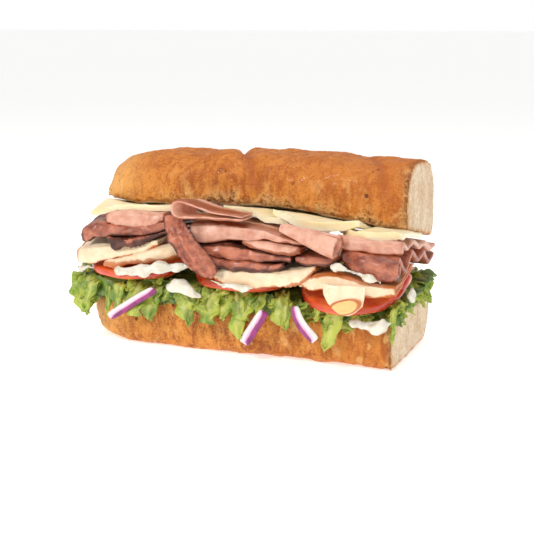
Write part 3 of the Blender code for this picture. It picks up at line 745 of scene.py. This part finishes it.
def onion(node, purple_side, seed):
    piece = copied(node, node + "_strip")
    apply_modifier(piece, "SUBSURF", levels=2, render_levels=2)
    low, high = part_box(node)
    across = Vector(purple_side).normalized()
    spots = [vertex.co.copy() for vertex in piece.data.vertices]
    # The skin share is taken across each 1.5 mm band of height, so that it follows the strip's bend.
    skin = []
    column = 1.5 * MM
    rows = {}
    for place in spots:
        rows.setdefault(round(place.z / column), []).append(place.dot(across))
    for place in spots:
        row = rows[round(place.z / column)]
        share = (place.dot(across) - min(row)) / max(max(row) - min(row), 0.1 * MM)
        skin.append(share)
    paint(piece, "skin", skin)
    return dress(piece, "onion", node)


def mayonnaise(node, seed):
    piece = copied(node, node + "_blob")
    apply_modifier(piece, "REMESH", mode="VOXEL", voxel_size=0.4 * MM)
    apply_modifier(piece, "SMOOTH", factor=0.5, iterations=3)
    wobble(piece, 6.0 * MM, 2.6 * MM, seed)
    wobble(piece, 2.4 * MM, 0.8 * MM, seed + 3.0)
    apply_modifier(piece, "SMOOTH", factor=0.5, iterations=3)
    return dress(piece, "mayonnaise", node)


# ---------------------------------------------------------------- lettuce

LEAF_ACROSS = 9
LEAF_ALONG = 15
BEND = 3.0 * MM             # radius at which a leaf turns over the edge of the heap


def leaf_shape(name, width, hang, reach, ruffle, seed, tip=0.84):
    """One leaf: it comes out level, turns over an edge and hangs down, with frilled sides."""
    bpy.ops.mesh.primitive_grid_add(x_subdivisions=LEAF_ACROSS, y_subdivisions=LEAF_ALONG, size=1.0)
    leaf = bpy.context.object
    leaf.name = name
    length = reach + BEND + hang
    pale = []
    for vertex in leaf.data.vertices:
        across = 2.0 * vertex.co.x
        along = vertex.co.y + 0.5
        profile = math.sin(math.pi * min(0.16 + tip * along, 1.0)) ** 0.5
        lobes = 1.0 + 0.16 * math.sin(along * 21.0 + seed + across) + 0.25 * noise.noise(Vector((seed,
                along * 5.0, across)))
        side = 0.5 * width * across * profile * lobes
        run = along * length * (1.0 + 0.10 * noise.noise(Vector((across * 2.0, seed, 3.0))))
        frill = ruffle * abs(across) ** 1.6 * math.sin(along * 17.0 + 2.6 * across + seed)
        frill += 0.8 * ruffle * noise.noise(Vector((across * 1.6, along * 3.5, seed)))
        frill += 0.35 * ruffle * (1.0 - abs(across) / 0.2 if abs(across) < 0.2 else 0.0)
        turn = min(max(run - reach, 0.0) / BEND, 1.4)
        rest = max(run - reach - 1.4 * BEND, 0.0)
        kick = 0.12 * rest * ease(along)
        out = min(run, reach) + BEND * math.sin(turn) + rest * math.cos(1.4) + kick
        down = BEND * (1.0 - math.cos(turn)) + rest * math.sin(1.4)
        vertex.co = Vector((side, -out - frill * math.sin(turn), -down + frill * math.cos(turn)))
        rib = 1.0 - ease(abs(across) / 0.22)
        veins = 0.5 + 0.5 * math.sin(along * 20.0 - 5.0 * abs(across))
        pale.append(min(1.0, 0.85 * rib * (1.0 - 0.6 * along) + 0.30 * veins * (1.0 - 0.5 * abs(across))))
    paint(leaf, "pale", pale)
    return leaf


def scatter_leaves(shapes, places, name):
    """Copies of the leaf shapes, each with its own mesh, joined into one piece."""
    copies = []
    for shape_index, spot, turn, lean, tip, scale in places:
        source = shapes[shape_index]
        made = source.copy()
        made.data = source.data.copy()
        bpy.context.scene.collection.objects.link(made)
        matrix = (Matrix.Translation(spot) @ Matrix.Rotation(turn, 4, "Z") @ Matrix.Rotation(lean, 4, "X")
                  @ Matrix.Rotation(tip, 4, "Y") @ Matrix.Diagonal((*scale, 1.0)))
        made.data.transform(matrix)
        made.matrix_world = Matrix.Identity(4)
        copies.append(made)
    bpy.ops.object.select_all(action="DESELECT")
    for made in copies:
        made.select_set(True)
    bpy.context.view_layer.objects.active = copies[0]
    bpy.ops.object.join()
    heap = bpy.context.object
    heap.name = name
    apply_modifier(heap, "SOLIDIFY", thickness=0.35 * MM, offset=0.0)
    return dress(heap, "lettuce", None)


# Leaves that hang over the front: x along the loaf, height of the tip, width, and shape.
FRONT_LEAVES = (
    (-73.0, 16.0, 1.2, 3), (-67.5, 12.5, 1.1, 2), (-61.5, 15.0, 0.8, 0), (-56.0, 14.0, 0.7, 1),
    (-50.5, 15.5, 0.9, 0), (-46.5, 22.0, 0.7, 1), (-40.0, 14.5, 0.8, 3), (-34.5, 13.5, 0.8, 2),
    (-29.0, 21.0, 0.7, 0), (-23.5, 23.0, 0.7, 1), (-17.5, 15.5, 0.9, 2), (-12.5, 12.0, 0.7, 0),
    (-6.5, 20.0, 0.7, 0), (-1.5, 14.5, 0.9, 3), (4.0, 17.0, 0.8, 2), (8.0, 8.5, 0.8, 2),
    (13.0, 17.5, 0.9, 3), (17.5, 20.0, 0.8, 0), (26.5, 17.0, 0.8, 2), (30.5, 15.5, 0.7, 0),
    (43.0, 21.0, 0.6, 1), (54.5, 7.5, 1.0, 5), (61.0, 20.0, 0.6, 1), (77.0, 13.0, 0.6, 1),
)


def lettuce():
    low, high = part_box("lettuce")
    core = copied("lettuce", "lettuce_core")
    apply_modifier(core, "REMESH", mode="VOXEL", voxel_size=1.3 * MM)
    for vertex in core.data.vertices:
        vertex.co = vertex.co - vertex.normal * 1.4 * MM
        inward = 1.0 - ease((vertex.co.y - low.y) / (12.0 * MM))
        vertex.co.y += inward * 3.0 * MM
        if vertex.co.y < low.y + 9.0 * MM:
            vertex.co.z = max(vertex.co.z, 21.0 * MM)
    wobble(core, 4.0 * MM, 2.6 * MM, 4.0)
    paint(core, "pale", [0.5 * random.random() for _ in core.data.vertices])
    dress(core, "lettuce_shade", "lettuce")

    random.seed(11)
    shapes = [
        leaf_shape("leaf_plain", 7.5 * MM, 12.0 * MM, 5.0 * MM, 1.3 * MM, 0.3),
        leaf_shape("leaf_shred", 4.2 * MM, 12.0 * MM, 6.0 * MM, 0.9 * MM, 1.9),
        leaf_shape("leaf_frill", 10.0 * MM, 12.0 * MM, 5.0 * MM, 2.0 * MM, 2.7, 0.72),
        leaf_shape("leaf_broad", 12.0 * MM, 12.0 * MM, 6.0 * MM, 2.4 * MM, 4.1, 0.68),
        leaf_shape("leaf_short", 6.0 * MM, 5.0 * MM, 7.0 * MM, 1.6 * MM, 5.6, 0.7),
        leaf_shape("leaf_long", 9.0 * MM, 12.0 * MM, 4.0 * MM, 1.0 * MM, 0.9, 0.84),
    ]
    front = low.y + 10.3 * MM
    base_drop = 14.0
    places = []
    for x, tip, width, shape in FRONT_LEAVES:
        start = 29.0 + random.uniform(-1.0, 1.0) - (2.0 if x > 30.0 else 0.0)
        inward = 9.0 * MM * ease((-60.0 - x) / 14.0)
        places.append((shape, Vector((x * MM, front + inward + random.uniform(-1.0, 1.0) * MM, start * MM)),
                       random.uniform(-0.25, 0.25), 0.0, random.uniform(-0.22, 0.22),
                       (width, random.uniform(0.9, 1.1), (start - tip) / base_drop)))
    scatter_leaves(shapes, places, "lettuce_leaves_hanging")

    places = []
    for step in range(95):
        x = mix(low.x + 12.0 * MM, high.x - 4.0 * MM, random.random())
        level = random.random()
        top = 31.0 if x < 0.030 else 26.5
        inward = 9.0 * MM * ease((-0.060 - x) / 0.014)
        spot = Vector((x, front + inward + mix(-0.5, 2.5, random.random()) * MM, (top - 5.5 * level) * MM))
        places.append((random.choice((0, 1, 1, 2, 4, 4)), spot, random.uniform(-0.8, 0.8),
                       random.uniform(-0.3, 0.3), random.uniform(-0.8, 0.8),
                       (random.uniform(0.5, 0.9), random.uniform(0.6, 1.0), random.uniform(0.12, 0.34))))
    scatter_leaves(shapes, places, "lettuce_shreds_front")

    places = []
    for step in range(34):
        share = random.random()
        angle = mix(-0.3, -2.2, share)
        spot = Vector((-0.056 + 0.013 * math.sin(angle), -0.006 - 0.019 * math.cos(angle), mix(24.0, 30.0,
                random.random()) * MM))
        places.append((random.choice((0, 2, 2, 3, 4)), spot, angle + random.uniform(-0.3, 0.3),
                       random.uniform(-0.2, 0.2), random.uniform(-0.4, 0.4),
                       (random.uniform(0.7, 1.1), random.uniform(0.8, 1.1), random.uniform(0.4, 0.9))))
    for step in range(26):
        spot = Vector((0.0705, mix(-30.0, 24.0, random.random()) * MM, mix(26.5, 30.0, random.random()) * MM))
        places.append((random.choice((0, 1, 2, 4)), spot, 0.5 * math.pi + random.uniform(-0.6, 0.6),
                       random.uniform(-0.2, 0.3), random.uniform(-0.5, 0.5),
                       (random.uniform(0.6, 0.9), random.uniform(0.7, 1.0), random.uniform(0.2, 0.65))))
    for step in range(64):
        spot = Vector((mix(-58.0, 74.0, random.random()) * MM, mix(18.0, 23.0, random.random()) * MM,
                       mix(29.5, 33.0, random.random()) * MM))
        places.append((random.choice((0, 1, 2, 4)), spot, math.pi + random.uniform(-0.7, 0.7),
                       random.uniform(-0.2, 0.3), random.uniform(-0.5, 0.5),
                       (random.uniform(0.6, 1.0), random.uniform(0.7, 1.0), random.uniform(0.2, 0.6))))
    scatter_leaves(shapes, places, "lettuce_shreds_round")
    for shape in shapes:
        bpy.data.objects.remove(shape, do_unlink=True)


# ---------------------------------------------------------------- stage, light and camera

def stage():
    bpy.ops.mesh.primitive_plane_add(size=30.0, location=(0.0, 0.0, -0.0002))
    floor = bpy.context.object
    floor.name = "floor"
    look = Look("floor")
    look.set(Base_Color=(0.92, 0.92, 0.92), Roughness=0.6)
    look.set(Emission_Color=(1.0, 1.0, 1.0), Emission_Strength=0.55)
    floor.data.materials.append(look.material)

    world = bpy.data.worlds.new("studio")
    bpy.context.scene.world = world
    world.use_nodes = True
    tree = world.node_tree
    backdrop = tree.nodes["Background"]
    backdrop.inputs["Strength"].default_value = 1.0
    direction = tree.nodes.new("ShaderNodeTexCoord")
    split = tree.nodes.new("ShaderNodeSeparateXYZ")
    height = tree.nodes.new("ShaderNodeMapRange")
    height.inputs["From Min"].default_value = 0.12
    height.inputs["From Max"].default_value = 0.45
    shade = tree.nodes.new("ShaderNodeMix")
    shade.data_type = "RGBA"
    shade.inputs[6].default_value = (1.0, 1.0, 1.0, 1.0)
    shade.inputs[7].default_value = (0.34, 0.337, 0.33, 1.0)
    tree.links.new(direction.outputs["Generated"], split.inputs[0])
    tree.links.new(split.outputs["Z"], height.inputs["Value"])
    tree.links.new(height.outputs["Result"], shade.inputs[0])
    tree.links.new(shade.outputs[2], backdrop.inputs["Color"])

    def lamp(name, spot, target, size, power, colour=(1.0, 0.98, 0.95)):
        data = bpy.data.lights.new(name, "AREA")
        data.size = size
        data.energy = power
        data.color = colour
        made = bpy.data.objects.new(name, data)
        made.location = spot
        made.rotation_euler = (Vector(target) - Vector(spot)).to_track_quat("-Z", "Y").to_euler()
        bpy.context.scene.collection.objects.link(made)

    lamp("key", (-0.25, -0.60, 0.60), (0.0, 0.0, 0.04), 0.16, 3.3)
    lamp("fill", (0.60, -0.35, 0.30), (0.0, 0.0, 0.04), 0.4, 0.6)
    lamp("top", (0.05, 0.10, 0.70), (0.0, 0.0, 0.05), 0.4, 2.0)


def camera():
    data = bpy.data.cameras.new("camera")
    data.sensor_width = 36.0
    data.lens = 77.87
    made = bpy.data.objects.new("camera", data)
    made.location = (0.1981, -0.4803, 0.1440)
    yaw = math.radians(21.6)
    pitch = math.radians(12.07)
    ahead = Vector((-math.sin(yaw) * math.cos(pitch), math.cos(yaw) * math.cos(pitch), -math.sin(pitch)))
    made.rotation_euler = ahead.to_track_quat("-Z", "Y").to_euler()
    bpy.context.scene.collection.objects.link(made)
    bpy.context.scene.camera = made


random.seed(5)
camera()
stage()
bread_half("bread_lower", "roll_lower", False)
bread_half("bread_upper", "roll_upper", True)
all_slices()
for number, node_name in enumerate(("tomato_left", "tomato_middle", "tomato_right")):
    tomato(node_name, 2.0 * number)
onion("onion_left", (0.6, 0.0, -0.8), 0.0)
onion("onion_middle", (1.0, 0.0, -0.2), 1.0)
onion("onion_right", (-1.0, 0.0, -0.6), 2.0)
for number, node_name in enumerate(sorted(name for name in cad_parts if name.startswith("mayonnaise"))):
    mayonnaise(node_name, 3.0 * number)
lettuce()

bpy.context.scene.view_settings.view_transform = "Standard"
